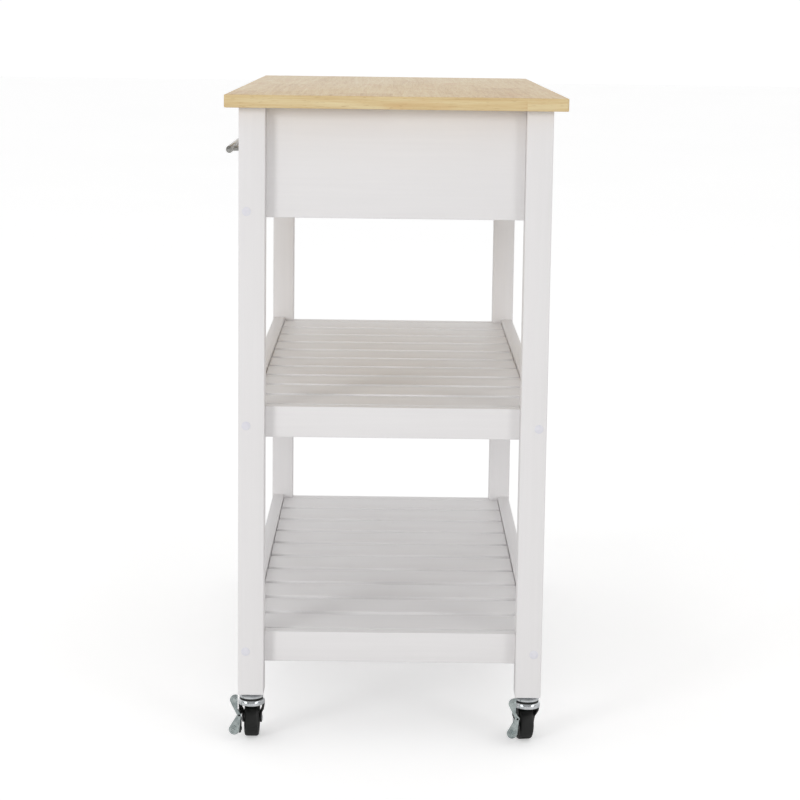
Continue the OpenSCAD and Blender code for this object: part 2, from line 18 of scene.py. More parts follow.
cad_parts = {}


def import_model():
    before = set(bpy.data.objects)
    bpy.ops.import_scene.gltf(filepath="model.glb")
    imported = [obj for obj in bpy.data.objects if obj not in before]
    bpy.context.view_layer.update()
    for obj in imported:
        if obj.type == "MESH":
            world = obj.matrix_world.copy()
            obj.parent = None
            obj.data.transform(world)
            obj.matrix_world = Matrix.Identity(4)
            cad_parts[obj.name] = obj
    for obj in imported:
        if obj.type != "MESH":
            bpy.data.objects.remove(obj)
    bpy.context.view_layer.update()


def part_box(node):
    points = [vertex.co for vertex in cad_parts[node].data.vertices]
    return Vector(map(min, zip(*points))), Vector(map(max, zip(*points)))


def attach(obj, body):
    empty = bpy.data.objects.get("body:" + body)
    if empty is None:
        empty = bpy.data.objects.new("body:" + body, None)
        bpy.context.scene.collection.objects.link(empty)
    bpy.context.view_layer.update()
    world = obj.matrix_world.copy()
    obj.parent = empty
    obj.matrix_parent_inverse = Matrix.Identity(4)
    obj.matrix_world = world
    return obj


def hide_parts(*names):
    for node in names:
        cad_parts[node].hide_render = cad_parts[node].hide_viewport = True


LOG = logging.getLogger("cart")
MM = 0.001
LEVEL_RISE = 0.001 * MM     # an edge that climbs less than this lies level
BOARD_ANGLE = 50.0          # degrees, past which a board's edge is shaded sharp
Object = bpy.types.Object
Material = bpy.types.Material
Node = bpy.types.Node
Socket = bpy.types.NodeSocket
Tree = bpy.types.NodeTree
Point = tuple[float, float]


class Along(Enum):
    """The direction in which a board's grain runs, as an index into X, Y and Z."""

    X = 0
    Y = 1
    Z = 2


class Hand(Enum):
    """The left and right ends of the cart, as the frame's nodes name them."""

    LEFT = "left"
    RIGHT = "right"


class Level(Enum):
    """The two shelves, as the frame's nodes name them."""

    UPPER = "upper"
    LOWER = "lower"


class Corner(Enum):
    """The four corners, with the signs of X and Y there."""

    FRONT_LEFT = (-1, -1)
    FRONT_RIGHT = (1, -1)
    BACK_LEFT = (-1, 1)
    BACK_RIGHT = (1, 1)

    @property
    def word(self) -> str:
        """The name that the frame's nodes use."""
        return self.name.lower()


# ---- Colours and nodes ----


def linear(code: str) -> tuple[float, float, float, float]:
    """Turns an sRGB hex value to the linear colour that a socket takes.

    Args:
        code: The colour, as "#RRGGBB".

    Returns:
        The linear red, green and blue, with full alpha.
    """
    parts = [int(code[i:i + 2], 16) / 255 for i in (1, 3, 5)]
    lin = [p / 12.92 if p <= 0.04045 else ((p + 0.055) / 1.055) ** 2.4 for p in parts]
    return (lin[0], lin[1], lin[2], 1.0)


def feed(tree: Tree, node: Node, links: dict) -> None:
    """Links output sockets to a node's inputs.

    Args:
        tree: The node tree.
        node: The node that is fed.
        links: The output sockets, by the input's name or number.
    """
    for key, source in links.items():
        tree.links.new(source, node.inputs[key])


def add(tree: Tree, kind: str, values: dict | None = None, links: dict | None = None,
        stops: Sequence[tuple[float, str]] = (), **props: object) -> Node:
    """Adds a node with its settings and links.

    Args:
        tree: The node tree that takes it.
        kind: The node's type, without the leading "ShaderNode".
        values: Values of its input sockets, by name or number.
        links: Output sockets that feed its inputs, by name or number.
        stops: A colour ramp's places from 0 to 1, with their sRGB hex colours.
        **props: The node's own properties.

    Returns:
        The new node.
    """
    made = tree.nodes.new("ShaderNode" + kind)
    for key, value in props.items():
        setattr(made, key, value)
    for key, value in (values or {}).items():
        made.inputs[key].default_value = value
    feed(tree, made, links or {})
    for index, (place, code) in enumerate(stops):
        bands = made.color_ramp.elements
        band = bands[index] if index < len(bands) else bands.new(place)
        band.position = place
        band.color = linear(code)
    return made


def between(lo: float, hi: float, start: float = 0.0, end: float = 1.0) -> dict[str, float]:
    """Gives the settings that map a value from start..end to lo..hi.

    Args:
        lo: The result at start.
        hi: The result at end.
        start: The value that gives lo.
        end: The value that gives hi.

    Returns:
        The settings, by socket name.
    """
    return {"From Min": start, "From Max": end, "To Min": lo, "To Max": hi}


def blotches(size: float, detail: float = 2.0, roughness: float = 0.5) -> dict[str, float]:
    """Gives the settings of a noise, whose value lies from about 0.25 to 0.75.

    Args:
        size: The size of its blotches in metres.
        detail: How many finer layers it has.
        roughness: How strong those layers are.

    Returns:
        The settings, by socket name.
    """
    return {"Scale": 1 / size, "Detail": detail, "Roughness": roughness}


def streaks(tree: Tree, source: Socket, along: Along, shrink: float, look: dict[str, float]) -> Socket:
    """Draws a noise whose blotches are drawn out into streaks along the grain.

    Args:
        tree: The node tree.
        source: The coordinates.
        along: The direction of the grain.
        shrink: The scale along the grain, against 1 across it.
        look: The noise's settings.

    Returns:
        The noise's value.
    """
    scale = [1.0, 1.0, 1.0]
    scale[along.value] = shrink
    drawn = add(tree, "Mapping", {"Scale": scale}, {"Vector": source}).outputs[0]
    return add(tree, "TexNoise", look, {"Vector": drawn}).outputs[0]


def blank(name: str) -> tuple[Material, Tree, Node, Socket]:
    """Starts a material.

    Args:
        name: The finish's name.

    Returns:
        The material, its tree, its shader and its Object coordinates.
    """
    made = bpy.data.materials.new(name)
    made.use_nodes = True
    tree = made.node_tree
    shader = next(n for n in tree.nodes if n.type == "BSDF_PRINCIPLED")
    coords = add(tree, "TexCoord").outputs["Object"]
    return made, tree, shader, coords


# ---- Finishes ----


@dataclass(frozen=True)
class SprayedPaint:
    """Satin acrylic lacquer sprayed on sanded wood and MDF.

    The eye sees an even off-white with a soft gloss, a faint orange peel, and long
    shallow streaks where the grain shows through the coats.
    """

    name: str = "satin_white_paint"
    light: str = "#ECEAEA"
    dull: str = "#E9E7E7"
    peel: float = 4 * MM        # real peel is near 1 mm; drawn coarser so that it shows
    streak: float = 5 * MM

    def material(self, along: Along) -> Material:
        """Makes the paint for boards with one grain direction.

        Args:
            along: The direction of the grain under the paint.

        Returns:
            The material.
        """
        made, tree, shader, coords = blank(f"{self.name}_{along.name.lower()}")
        grain = streaks(tree, coords, along, 0.03, blotches(self.streak, 3))
        cloud = add(tree, "TexNoise", blotches(160 * MM), {"Vector": coords}).outputs[0]
        peel = add(tree, "TexNoise", blotches(self.peel, 1), {"Vector": coords}).outputs[0]
        tone = add(tree, "Math", {1: 0.5}, {0: grain}, operation="MULTIPLY").outputs[0]
        tone = add(tree, "Math", {1: 0.5}, {0: cloud, 2: tone}, operation="MULTIPLY_ADD").outputs[0]
        colour = add(tree, "ValToRGB", None, {0: tone}, [(0.35, self.dull), (0.65, self.light)]).outputs[0]
        gloss = add(tree, "MapRange", between(0.36, 0.46, 0.3, 0.7), {"Value": cloud}).outputs[0]
        low = add(tree, "Bump", {"Strength": 0.15, "Distance": 0.1 * MM}, {"Height": grain}).outputs[0]
        top = add(tree, "Bump", {"Strength": 0.3, "Distance": 0.05 * MM},
                  {"Height": peel, "Normal": low}).outputs[0]
        feed(tree, shader, {"Base Color": colour, "Roughness": gloss, "Normal": top})
        shader.inputs["IOR"].default_value = 1.46
        return made


@dataclass(frozen=True)
class LacqueredTimber:
    """Glued staves of a pale hardwood under a clear satin lacquer.

    The eye sees strips of slightly different honey tones, finger-jointed end to end,
    fine darker growth lines, short open pores and the lacquer's soft sheen.
    """

    name: str = "lacquered_timber"
    pale: str = "#E9D3A6"
    warm: str = "#DDBE8A"
    deep: str = "#C79F67"
    blush: str = "#D29A62"
    pore: str = "#A67C4B"
    stave: float = 62 * MM
    block: float = 420 * MM
    whole: float = 4.0          # wider than any board, so that it holds a single strip

    def material(self, along: Along, staved: bool = True) -> Material:
        """Makes the timber for faces whose grain runs one way.

        Args:
            along: The direction of the grain.
            staved: Whether strips lie side by side across the grain.

        Returns:
            The material.
        """
        made, tree, shader, coords = blank(f"{self.name}_{along.name.lower()}")
        split = add(tree, "SeparateXYZ", links={"Vector": coords}).outputs
        run, side = (split["X"], split["Y"]) if along is Along.X else (split["Y"], split["X"])
        width = self.stave if staved else self.whole
        row = add(tree, "Math", {1: 1 / width}, {0: side}, operation="MULTIPLY").outputs[0]
        row_id = add(tree, "Math", links={0: row}, operation="FLOOR").outputs[0]
        jog = add(tree, "TexWhiteNoise", links={"W": row_id}, noise_dimensions="1D").outputs["Value"]
        place = add(tree, "Math", {1: 1 / self.block}, {0: run, 2: jog}, operation="MULTIPLY_ADD").outputs[0]
        col_id = add(tree, "Math", links={0: place}, operation="FLOOR").outputs[0]
        ids = add(tree, "CombineXYZ", links={"X": row_id, "Y": col_id}).outputs[0]
        lot = add(tree, "TexWhiteNoise", links={"Vector": ids}, noise_dimensions="3D").outputs
        own = add(tree, "VectorMath", {1: (0.9, 0.9, 0.9)}, {0: lot["Color"], 2: coords},
                  operation="MULTIPLY_ADD").outputs[0]
        bend = streaks(tree, own, along, 0.16, blotches(46 * MM))
        warp = add(tree, "VectorMath", {1: (0.02, 0.02, 0.02)}, {0: bend, 2: own},
                   operation="MULTIPLY_ADD").outputs[0]
        rings = streaks(tree, warp, along, 0.03, blotches(7 * MM, 4, 0.6))
        fibre = streaks(tree, own, along, 0.035, blotches(1.6 * MM, 3, 0.65))
        pores = streaks(tree, own, along, 0.09, blotches(1.1 * MM, 1))
        blot = streaks(tree, own, along, 0.4, blotches(60 * MM, 3, 0.6))
        mixed = add(tree, "Math", {1: 0.62}, {0: rings}, operation="MULTIPLY").outputs[0]
        mixed = add(tree, "Math", {1: 0.3}, {0: fibre, 2: mixed}, operation="MULTIPLY_ADD").outputs[0]
        tone = add(tree, "Math", {1: 0.16}, {0: lot["Value"], 2: mixed}, operation="MULTIPLY_ADD").outputs[0]
        body = add(tree, "ValToRGB", None, {0: tone},
                   [(0.36, self.pale), (0.56, self.warm), (0.78, self.deep)]).outputs[0]
        blush = add(tree, "MapRange", between(0.0, 0.5, 0.58, 0.78), {"Value": blot}).outputs[0]
        dark = add(tree, "MapRange", between(0.0, 0.4, 0.64, 0.74), {"Value": pores}).outputs[0]
        colour = add(tree, "Mix", {7: linear(self.blush)}, {0: blush, 6: body}, data_type="RGBA").outputs[2]
        colour = add(tree, "Mix", {7: linear(self.pore)}, {0: dark, 6: colour}, data_type="RGBA").outputs[2]
        gloss = add(tree, "MapRange", between(0.3, 0.42, 0.3, 0.7), {"Value": fibre}).outputs[0]
        bump = add(tree, "Bump", {"Strength": 0.25, "Distance": 0.1 * MM}, {"Height": fibre}).outputs[0]
        feed(tree, shader, {"Base Color": colour, "Roughness": gloss, "Normal": bump})
        shader.inputs["IOR"].default_value = 1.5
        return made


@dataclass(frozen=True)
class BareTimber:
    """Sanded, uncoated pine and beech, as inside drawers: pale, matt, with straight growth lines."""

    name: str = "sanded_pine"
    pale: str = "#E6D2AE"
    deep: str = "#CDAE7D"

    def material(self, along: Along) -> Material:
        """Makes the timber for boards with one grain direction.

        Args:
            along: The direction of the grain.

        Returns:
            The material.
        """
        made, tree, shader, coords = blank(f"{self.name}_{along.name.lower()}")
        rings = streaks(tree, coords, along, 0.04, blotches(9 * MM, 3, 0.6))
        fibre = streaks(tree, coords, along, 0.04, blotches(1.5 * MM))
        tone = add(tree, "Math", {1: 0.4}, {0: fibre, 2: rings}, operation="MULTIPLY_ADD").outputs[0]
        colour = add(tree, "ValToRGB", None, {0: tone}, [(0.5, self.pale), (0.9, self.deep)]).outputs[0]
        gloss = add(tree, "MapRange", between(0.6, 0.75, 0.3, 0.7), {"Value": fibre}).outputs[0]
        bump = add(tree, "Bump", {"Strength": 0.3, "Distance": 0.2 * MM}, {"Height": fibre}).outputs[0]
        feed(tree, shader, {"Base Color": colour, "Roughness": gloss, "Normal": bump})
        return made


@dataclass(frozen=True)
class PlatedSteel:
    """Metal with an even worked surface: zinc plate or satin nickel.

    The eye sees a broken reflection, soft along the working lines, with slightly
    cloudy patches where the plate took unevenly.
    """

    name: str
    bright: str
    dull: str
    smooth: float
    rough: float
    lines: float = 0.6 * MM
    along: Along | None = None

    def material(self) -> Material:
        """Makes the metal."""
        made, tree, shader, coords = blank(self.name)
        look = blotches(self.lines)
        if self.along:
            line = tone = streaks(tree, coords, self.along, 0.05, look)
        else:
            line = add(tree, "TexNoise", look, {"Vector": coords}).outputs[0]
            tone = add(tree, "TexNoise", blotches(9 * MM, 3), {"Vector": coords}).outputs[0]
        colour = add(tree, "ValToRGB", None, {0: tone}, [(0.35, self.dull), (0.65, self.bright)]).outputs[0]
        gloss = add(tree, "MapRange", between(self.smooth, self.rough, 0.3, 0.7), {"Value": line}).outputs[0]
        bump = add(tree, "Bump", {"Strength": 0.2, "Distance": 0.03 * MM}, {"Height": line}).outputs[0]
        feed(tree, shader, {"Base Color": colour, "Roughness": gloss, "Normal": bump})
        shader.inputs["Metallic"].default_value = 1.0
        return made


@dataclass(frozen=True)
class DarkCoat:
    """A black surface: powder coat on steel, or moulded nylon.

    The eye sees near black with a low, slightly mottled sheen from the coat's grit.
    """

    name: str
    body: str
    worn: str
    smooth: float
    rough: float
    grit: float = 0.9 * MM

    def material(self) -> Material:
        """Makes the coat."""
        made, tree, shader, coords = blank(self.name)
        cloud = add(tree, "TexNoise", blotches(14 * MM, 3), {"Vector": coords}).outputs[0]
        grit = add(tree, "TexNoise", blotches(self.grit, 1), {"Vector": coords}).outputs[0]
        colour = add(tree, "ValToRGB", None, {0: cloud}, [(0.4, self.body), (0.75, self.worn)]).outputs[0]
        gloss = add(tree, "MapRange", between(self.smooth, self.rough, 0.3, 0.7), {"Value": grit}).outputs[0]
        bump = add(tree, "Bump", {"Strength": 0.3, "Distance": 0.06 * MM}, {"Height": grit}).outputs[0]
        feed(tree, shader, {"Base Color": colour, "Roughness": gloss, "Normal": bump})
        shader.inputs["IOR"].default_value = 1.5
        return made


@dataclass(frozen=True)
class MouldedPlastic:
    """Injection-moulded polypropylene: the eye sees a cool, even white with a soft, slightly patchy gloss."""

    name: str = "moulded_white_plastic"
    light: str = "#E6E5EB"
    dull: str = "#E0DFE7"

    def material(self) -> Material:
        """Makes the plastic."""
        made, tree, shader, coords = blank(self.name)
        cloud = add(tree, "TexNoise", blotches(5 * MM), {"Vector": coords}).outputs[0]
        colour = add(tree, "ValToRGB", None, {0: cloud}, [(0.35, self.dull), (0.65, self.light)]).outputs[0]
        gloss = add(tree, "MapRange", between(0.35, 0.5, 0.3, 0.7), {"Value": cloud}).outputs[0]
        feed(tree, shader, {"Base Color": colour, "Roughness": gloss})
        shader.inputs["IOR"].default_value = 1.49
        return made


class Finishes:
    """Every material of the cart, made once and shared."""

    def __init__(self) -> None:
        """Makes the materials."""
        self.paint = {a: SprayedPaint().material(a) for a in Along}
        ends = LacqueredTimber(pale="#E8D9B0", warm="#DCC494", deep="#C8A672")
        self.timber = {Along.X: LacqueredTimber().material(Along.X), Along.Y: ends.material(Along.Y, False)}
        self.bare = {a: BareTimber().material(a) for a in Along}
        self.zinc = PlatedSteel("bright_zinc_plate", "#ECEFF1", "#D3D8DB", 0.14, 0.24).material()
        self.pressed = PlatedSteel("pressed_zinc_plate", "#CAD3D2", "#9FAAAA", 0.2, 0.34, 2.2 * MM).material()
        self.nickel = PlatedSteel("satin_nickel_plate", "#D2D1CD", "#8F8E8A", 0.2, 0.34, 0.9 * MM,
                                  Along.X).material()
        self.coat = DarkCoat("black_powder_coat", "#0C0C0D", "#161617", 0.42, 0.56).material()
        self.nylon = DarkCoat("black_moulded_nylon", "#0F100F", "#1A1B1A", 0.4, 0.54, 1.4 * MM).material()
        self.plastic = MouldedPlastic().material()


# ---- The modelling bench ----


def alone(piece: Object | None = None) -> None:
    """Deselects everything, and then selects one piece if it is given.

    Args:
        piece: The piece to select and make active.
    """
    bpy.ops.object.select_all(action="DESELECT")
    if piece is not None:
        piece.select_set(True)
        bpy.context.view_layer.objects.active = piece


def settle(piece: Object) -> None:
    """Applies a piece's place, turn and scale to its mesh."""
    alone(piece)
    bpy.ops.object.transform_apply(location=True, rotation=True, scale=True)


def pick(piece: Object, kind: str, test: Callable[..., bool]) -> None:
    """In edit mode, selects only the parts of a mesh that pass a test.

    Args:
        piece: The piece in edit mode.
        kind: "EDGE" or "FACE".
        test: Says whether an edge or a face is selected.
    """
    bpy.ops.mesh.select_mode(type=kind)
    bpy.ops.mesh.select_all(action="DESELECT")
    mesh = bmesh.from_edit_mesh(piece.data)
    for part in mesh.edges if kind == "EDGE" else mesh.faces:
        if test(part):
            part.select_set(True)
    mesh.select_flush_mode()
    bmesh.update_edit_mesh(piece.data)


def rise(edge: bmesh.types.BMEdge) -> float:
    """Measures how far an edge climbs along Z."""
    return abs(edge.verts[0].co.z - edge.verts[1].co.z)


def finish_mesh(piece: Object, angle: float = 35.0) -> Object:
    """Merges doubles, points the faces outwards and smooths the shading below an angle.

    Args:
        piece: The piece, in object mode.
        angle: The sharpest angle that is shaded smooth, in degrees.

    Returns:
        The piece.
    """
    alone(piece)
    bpy.ops.object.mode_set(mode="EDIT")
    bpy.ops.mesh.select_all(action="SELECT")
    bpy.ops.mesh.remove_doubles(threshold=1e-6)
    bpy.ops.mesh.normals_make_consistent(inside=False)
    bpy.ops.object.mode_set(mode="OBJECT")
    bpy.ops.object.shade_smooth_by_angle(angle=math.radians(angle))
    return piece


def squared(name: str, lo: Vector, hi: Vector) -> Object:
    """Adds a block with sharp arrises between two corners.

    Args:
        name: The block's name.
        lo: Its lowest corner.
        hi: Its highest corner.

    Returns:
        The block.
    """
    alone()
    bpy.ops.mesh.primitive_cube_add(size=1, location=(lo + hi) / 2, scale=hi - lo)
    piece = bpy.context.object
    piece.name = name
    settle(piece)
    return piece


def board(name: str, lo: Vector, hi: Vector, ease: float = 1.0 * MM, rounds: int = 2) -> Object:
    """Models a sawn board with eased arrises.

    Args:
        name: The piece's name.
        lo: Its lowest corner.
        hi: Its highest corner.
        ease: The radius of its arrises.
        rounds: The number of faces across an arris.

    Returns:
        The board.
    """
    piece = squared(name, lo, hi)
    bpy.ops.object.mode_set(mode="EDIT")
    bpy.ops.mesh.select_all(action="SELECT")
    bpy.ops.mesh.bevel(offset=ease, segments=rounds, affect="EDGES")
    bpy.ops.object.mode_set(mode="OBJECT")
    return finish_mesh(piece, BOARD_ANGLE)


def turned(name: str, profile: Sequence[Point], sides: int = 48) -> Object:
    """Models a solid of revolution about Z from a disc, step by step.

    Args:
        name: The piece's name.
        profile: Radius and height of each step, from the lower face to the upper.
        sides: The number of sides.

    Returns:
        The turned piece.
    """
    alone()
    radius, height = profile[0]
    bpy.ops.mesh.primitive_circle_add(vertices=sides, radius=radius, fill_type="NGON",
                                      location=(0, 0, height))
    piece = bpy.context.object
    piece.name = name
    settle(piece)
    bpy.ops.object.mode_set(mode="EDIT")
    bpy.ops.mesh.select_mode(type="FACE")
    bpy.ops.mesh.select_all(action="SELECT")
    for new_radius, new_height in profile[1:]:
        bpy.ops.mesh.extrude_region_move(TRANSFORM_OT_translate={"value": (0, 0, new_height - height)})
        grow = new_radius / radius
        bpy.ops.transform.resize(value=(grow, grow, 1), center_override=(0, 0, new_height))
        radius, height = new_radius, new_height
    bpy.ops.object.mode_set(mode="OBJECT")
    return finish_mesh(piece)


def plate(name: str, outline: Sequence[Point], thick: float, ease: float = 0.4 * MM) -> Object:
    """Models a plate from a flat disc whose rim is drawn out to an outline.

    Args:
        name: The piece's name.
        outline: The rim's points, counter-clockwise, in the plate's own X and Y.
        thick: The plate's thickness, from Z = 0 up.
        ease: The radius of its rims.

    Returns:
        The plate.
    """
    alone()
    bpy.ops.mesh.primitive_circle_add(vertices=len(outline), fill_type="NGON")
    piece = bpy.context.object
    piece.name = name
    for vertex, (x, y) in zip(piece.data.vertices, outline):
        vertex.co = (x, y, 0)
    bpy.ops.object.mode_set(mode="EDIT")
    bpy.ops.mesh.select_mode(type="FACE")
    bpy.ops.mesh.select_all(action="SELECT")
    bpy.ops.mesh.extrude_region_move(TRANSFORM_OT_translate={"value": (0, 0, thick)})
    bpy.ops.mesh.select_all(action="SELECT")
    bpy.ops.mesh.normals_make_consistent(inside=False)
    pick(piece, "EDGE", lambda edge: rise(edge) < LEVEL_RISE)
    bpy.ops.mesh.bevel(offset=ease, segments=2, affect="EDGES", clamp_overlap=True)
    bpy.ops.object.mode_set(mode="OBJECT")
    return finish_mesh(piece)


def placed(piece: Object, matrix: Matrix) -> Object:
    """Moves a piece's mesh by a matrix and leaves its object at the origin.

    Args:
        piece: The piece.
        matrix: The move.

    Returns:
        The piece.
    """
    piece.matrix_world = matrix
    settle(piece)
    return piece


def copied(piece: Object, name: str, matrix: Matrix) -> Object:
    """Copies a piece with a mesh of its own, to another place.

    Args:
        piece: The piece that is copied.
        name: The copy's name.
        matrix: The move from the piece to the copy.

    Returns:
        The copy.
    """
    twin = piece.copy()
    twin.data = piece.data.copy()
    twin.name = twin.data.name = name
    bpy.context.scene.collection.objects.link(twin)
    return placed(twin, matrix)


def joined(name: str, pieces: Sequence[Object]) -> Object:
    """Joins pieces into one.

    Args:
        name: The joined piece's name.
        pieces: The pieces, of which the first is kept.

    Returns:
        The joined piece.
    """
    alone(pieces[0])
    for piece in pieces[1:]:
        piece.select_set(True)
    bpy.ops.object.join()
    pieces[0].name = name
    return pieces[0]


def drop(piece: Object) -> None:
    """Removes a pattern piece once its copies are made."""
    bpy.data.objects.remove(piece)


def quarter(axis: str, sign: int = 1) -> Matrix:
    """Makes a turn by 90 degrees.

    Args:
        axis: The axis, "X" or "Y".
        sign: 1 or -1, for the way it turns.

    Returns:
        The turn.
    """
    return Matrix.Rotation(sign * math.pi / 2, 4, axis)


def arc(centre: Vector, radius: float, first: float, last: float, steps: int) -> list[Point]:
    """Draws an arc.

    Args:
        centre: The arc's centre.
        radius: Its radius.
        first: The direction of its first point, in radians.
        last: The direction of its last point.
        steps: The number of chords.

    Returns:
        Its points.
    """
    turns = [first + (last - first) * i / steps for i in range(steps + 1)]
    return [(centre.x + radius * math.cos(a), centre.y + radius * math.sin(a)) for a in turns]


def both_ways(half: Sequence[Point]) -> list[Point]:
    """Mirrors the upper half of a turned profile.

    Args:
        half: Radius and height of each step, from the end face to the middle.

    Returns:
        The whole profile, from the lower end to the upper.
    """
    return [(r, -z) for r, z in half] + list(reversed(half))


def dress(piece: Object, *materials: Material) -> None:
    """Gives a piece its materials in place of those it has.

    Args:
        piece: The piece.
        *materials: Its materials, by slot.
    """
    piece.data.materials.clear()
    for made in materials:
        piece.data.materials.append(made)


def register(piece: Object, body: str, slot: str, node: str, *materials: Material) -> None:
    """Dresses a finished piece and tells the frame what it is.

    Args:
        piece: The piece.
        body: The body that it rides on.
        slot: The record's material slot; not used.
        node: The frame's node that it stands for.
        *materials: Its materials.
    """
    dress(piece, *materials)
    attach(piece, body)
    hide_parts(node)
    LOG.info("%s: %d faces on %s", piece.name, len(piece.data.polygons), body)


def plain_board(finishes: Finishes, node: str, along: Along, ease: float = 1.0 * MM) -> None:
    """Replaces a painted board of the root body by one with eased arrises.

    Args:
        finishes: The materials.
        node: The frame's node.
        along: The direction of its grain.
        ease: The radius of its arrises.
    """
    lo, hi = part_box(node)
    piece = board(f"{node}_board", lo, hi, ease, 3)
    register(piece, "root", "white_paint", node, finishes.paint[along])


# ---- The sub-assemblies ----


@dataclass
class Worktop:
    """The laminated timber worktop."""

    finishes: Finishes
    corner_r: float = 3 * MM
    arris_r: float = 1.4 * MM
    end_face: float = 0.6       # a face that points along X by more than this shows end grain

    def build(self) -> None:
        """Models the slab, rounds its corners and arrises, and dresses its faces by their grain."""
        slab = squared("worktop_slab", *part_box("worktop"))
        bpy.ops.object.mode_set(mode="EDIT")
        pick(slab, "EDGE", lambda edge: rise(edge) > LEVEL_RISE)
        bpy.ops.mesh.bevel(offset=self.corner_r, segments=6, affect="EDGES")
        pick(slab, "EDGE", lambda edge: rise(edge) < LEVEL_RISE)
        bpy.ops.mesh.bevel(offset=self.arris_r, segments=4, affect="EDGES")
        bpy.ops.object.mode_set(mode="OBJECT")
        finish_mesh(slab, BOARD_ANGLE)
        register(slab, "root", "worktop_wood", "worktop", self.finishes.timber[Along.X],
                 self.finishes.timber[Along.Y])
        for face in slab.data.polygons:
            face.material_index = 1 if abs(face.normal.x) > self.end_face else 0


@dataclass
class Carcass:
    """The painted posts, panels and rails."""

    finishes: Finishes
    post_ease: float = 1.3 * MM
    rail_ease: float = 0.8 * MM
    foot_inset: float = 1.2 * MM

    def posts(self) -> None:
        """Models the four posts with rounded upright arrises and an inset foot."""
        for corner in Corner:
            node = f"leg_{corner.word}"
            post = squared(f"post_{corner.word}", *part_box(node))
            bpy.ops.object.mode_set(mode="EDIT")
            pick(post, "EDGE", lambda edge: rise(edge) > LEVEL_RISE)
            bpy.ops.mesh.bevel(offset=self.post_ease, segments=3, affect="EDGES")
            pick(post, "FACE", lambda face: face.normal.z < -0.9)
            bpy.ops.mesh.inset(thickness=self.foot_inset, depth=0)
            bpy.ops.object.mode_set(mode="OBJECT")
            finish_mesh(post, BOARD_ANGLE)
            register(post, "root", "white_paint", node, self.finishes.paint[Along.Z])

    def boards(self) -> None:
        """Models the panels, the rails and the divider."""
        for hand in Hand:
            plain_board(self.finishes, f"end_panel_{hand.value}", Along.Y)
            for level in Level:
                plain_board(self.finishes, f"{level.value}_end_rail_{hand.value}", Along.Y, self.rail_ease)
        for level in Level:
            for edge in ("front", "back"):
                plain_board(self.finishes, f"{level.value}_rail_{edge}", Along.X, self.rail_ease)
        plain_board(self.finishes, "back_panel", Along.X)
        plain_board(self.finishes, "front_rail", Along.X)
        plain_board(self.finishes, "drawer_divider", Along.Y)

    def build(self) -> None:
        """Models the whole carcass."""
        self.posts()
        self.boards()


@dataclass
class Shelf:
    """One slatted shelf: its slats and the cleats under them."""

    finishes: Finishes
    level: Level
    count: int = 10
    gap: float = 14 * MM
    slat_ease: float = 0.5 * MM
    cleat_depth: float = 14 * MM
    cleat_tall: float = 18 * MM

    def slats(self) -> None:
        """Models one slat with eased arrises and copies it along the shelf."""
        node = f"{self.level.value}_slats"
        lo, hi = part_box(node)
        width = (hi.x - lo.x - (self.count - 1) * self.gap) / self.count
        pattern = board("slat", lo, Vector((lo.x + width, hi.y, hi.z)), self.slat_ease, 3)
        for i in range(self.count):
            step = Matrix.Translation((i * (width + self.gap), 0, 0))
            slat = copied(pattern, f"{self.level.value}_slat_{i + 1:02d}", step)
            register(slat, "root", "white_paint", node, self.finishes.paint[Along.Y])
        drop(pattern)

    def cleats(self) -> None:
        """Models the two cleats under the slats' ends."""
        lo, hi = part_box("shelf_cleats")
        size = Vector((hi.x - lo.x, self.cleat_depth, self.cleat_tall))
        low_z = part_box(f"{self.level.value}_slats")[0].z - self.cleat_tall
        for edge, y in (("front", lo.y), ("back", hi.y - self.cleat_depth)):
            low = Vector((lo.x, y, low_z))
            piece = board(f"{self.level.value}_cleat_{edge}", low, low + size)
            register(piece, "root", "white_paint", "shelf_cleats", self.finishes.paint[Along.X])

    def build(self) -> None:
        """Models the whole shelf."""
        self.slats()
        self.cleats()


